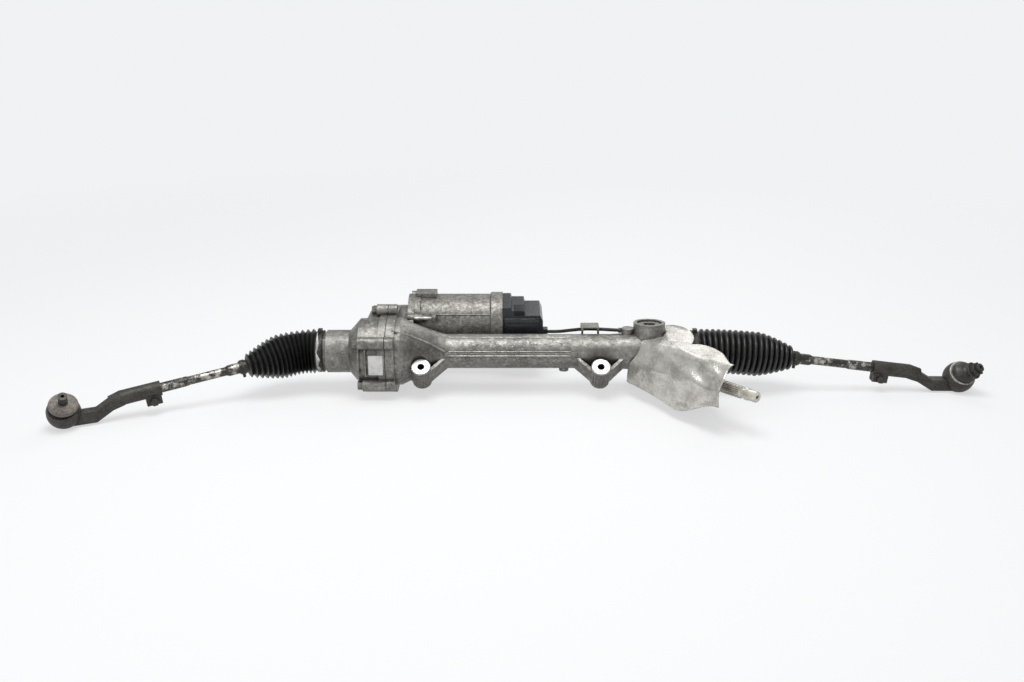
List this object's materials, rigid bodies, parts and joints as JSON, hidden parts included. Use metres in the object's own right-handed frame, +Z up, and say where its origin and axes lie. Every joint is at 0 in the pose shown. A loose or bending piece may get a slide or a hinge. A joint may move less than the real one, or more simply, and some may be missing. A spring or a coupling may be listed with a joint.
{
  "type": "electric steering rack",
  "caption": "Electric power steering rack with a motor beside the rack, belt drive, bellows, tie rods with ball joints, heat shield and a splined input shaft.",
  "frame": {"origin": "middle of the left mounting bore at the upper face of its boss", "axes": "+X along the rack axis from the belt case towards the input-shaft side, +Y to the rear (motor side), +Z up from the bench that the assembly lies on"},
  "size_m": [1.3058, 0.2984, 0.1293],
  "materials": {
    "cast_aluminium": "as-cast, dull and stained",
    "motor_aluminium": "dull",
    "shield_aluminium": "dimpled sheet, mottled",
    "machined_steel": "ground",
    "forged_steel": "black oxide, worn",
    "zinc_steel": "zinc plated, dulled",
    "winding_steel": "laminations and copper",
    "bellows_rubber": "satin",
    "seal_rubber": "matt",
    "belt_rubber": "toothed",
    "black_plastic": "moulded",
    "white_plastic": "moulded",
    "pulley_plastic": "moulded",
    "board": "printed board",
    "cable_sheath": "braided sleeve"
  },
  "bodies": {
    "housing": {"main_housing": "cast_aluminium", "gear_cover": "cast_aluminium", "cover_seal": "seal_rubber", "cover_bolts": "zinc_steel", "mount_sleeve_left": "machined_steel", "mount_sleeve_right": "machined_steel", "nut_bearing_outer": "machined_steel", "bearing_lock_ring": "machined_steel", "drive_belt": "belt_rubber", "motor_housing": "motor_aluminium", "motor_screws": "zinc_steel", "motor_stator": "winding_steel", "motor_bearings": "machined_steel", "ecu_housing": "black_plastic", "ecu_board": "board", "sensor_cable": "cable_sheath", "cable_plug": "black_plastic", "cable_gland": "black_plastic", "cable_clip": "zinc_steel", "pinion_bearings": "machined_steel", "sensor_housing": "cast_aluminium", "torque_sensor": "black_plastic", "input_bearing_seal": "seal_rubber", "yoke": "machined_steel", "yoke_spring": "machined_steel", "yoke_plug": "motor_aluminium", "heat_shield": "shield_aluminium", "bellows_left": "bellows_rubber", "boot_clamp_left": "zinc_steel", "bellows_right": "bellows_rubber", "boot_clamp_right": "zinc_steel"},
    "rack": {"rack_bar": "machined_steel", "inner_socket_left": "forged_steel", "inner_socket_right": "forged_steel", "ball_seats": "white_plastic"},
    "ball_nut": {"ball_nut": "machined_steel", "nut_pulley": "pulley_plastic", "nut_bearing_inner": "machined_steel", "bearing_rollers": "machined_steel"},
    "rotor": {"motor_rotor": "winding_steel", "motor_pulley": "machined_steel"},
    "pinion": {"pinion_shaft": "machined_steel", "torsion_bar": "machined_steel"},
    "input": {"input_shaft": "machined_steel"},
    "tie_rod_left": {"inner_rod_left": "forged_steel", "tie_rod_end_left": "forged_steel", "clamp_bolt_left": "forged_steel", "small_clamp_left": "zinc_steel"},
    "stud_left": {"ball_stud_left": "machined_steel", "dust_boot_left": "seal_rubber"},
    "tie_rod_right": {"inner_rod_right": "forged_steel", "tie_rod_end_right": "forged_steel", "clamp_bolt_right": "forged_steel", "small_clamp_right": "zinc_steel"},
    "stud_right": {"ball_stud_right": "machined_steel", "stud_nut_right": "zinc_steel", "dust_boot_right": "seal_rubber"}
  },
  "joints": [
    {"name": "rack_slide", "type": "slide", "parent": "housing", "child": "rack", "axis": [1, 0, 0], "range_m": [-0.081, 0.049], "deforming": ["bellows_left", "bellows_right"]},
    {"name": "pinion_spin", "type": "hinge", "parent": "housing", "child": "pinion", "pos_m": [0.329, 0.04024, -0.00657], "axis": [0.5736, -0.8166, 0.0643], "range_deg": [-329.04, 543.59]},
    {"name": "ball_nut_spin", "type": "hinge", "parent": "housing", "child": "ball_nut", "pos_m": [-0.056, 0.04152, 0.00964], "axis": [1, 0, 0], "range_deg": [-2520.5, 4166.21]},
    {"name": "motor_spin", "type": "hinge", "parent": "housing", "child": "rotor", "pos_m": [0.03, 0.11852, 0.03164], "axis": [1, 0, 0], "range_deg": [-6720.5, 11109.07]},
    {"name": "input_twist", "type": "hinge", "parent": "pinion", "child": "input", "pos_m": [0.37489, -0.02509, -0.00143], "axis": [0.5736, -0.8166, 0.0643], "range_deg": [-4.5, 4.5], "stiffness_Nm_per_rad": 115},
    {"name": "inner_ball_left", "type": "hinge", "parent": "rack", "child": "tie_rod_left", "pos_m": [-0.17, 0.04152, 0.00964], "axis": [0, 0.262, -0.9651], "range_deg": [-2.2, 53.4]},
    {"name": "outer_ball_left", "type": "hinge", "parent": "tie_rod_left", "child": "stud_left", "pos_m": [-0.47322, -0.09818, -0.02829], "axis": [0.3948, -0.6934, -0.6028], "range_deg": [-19, 33]},
    {"name": "inner_ball_right", "type": "hinge", "parent": "rack", "child": "tie_rod_right", "pos_m": [0.451, 0.04152, 0.00964], "axis": [0, 0.9891, -0.1476], "range_deg": [-34.8, 21]},
    {"name": "outer_ball_right", "type": "hinge", "parent": "tie_rod_right", "child": "stud_right", "pos_m": [0.78475, 0.03578, -0.0288], "axis": [0.0907, 0.7283, 0.6792], "range_deg": [-49, 1]}
  ],
  "couplings": [
    {"joint": "pinion_spin", "follows": "rack_slide", "rad_per_m": -117.02},
    {"joint": "ball_nut_spin", "follows": "rack_slide", "rad_per_m": -897.6},
    {"joint": "motor_spin", "follows": "rack_slide", "rad_per_m": -2393.6}
  ]
}
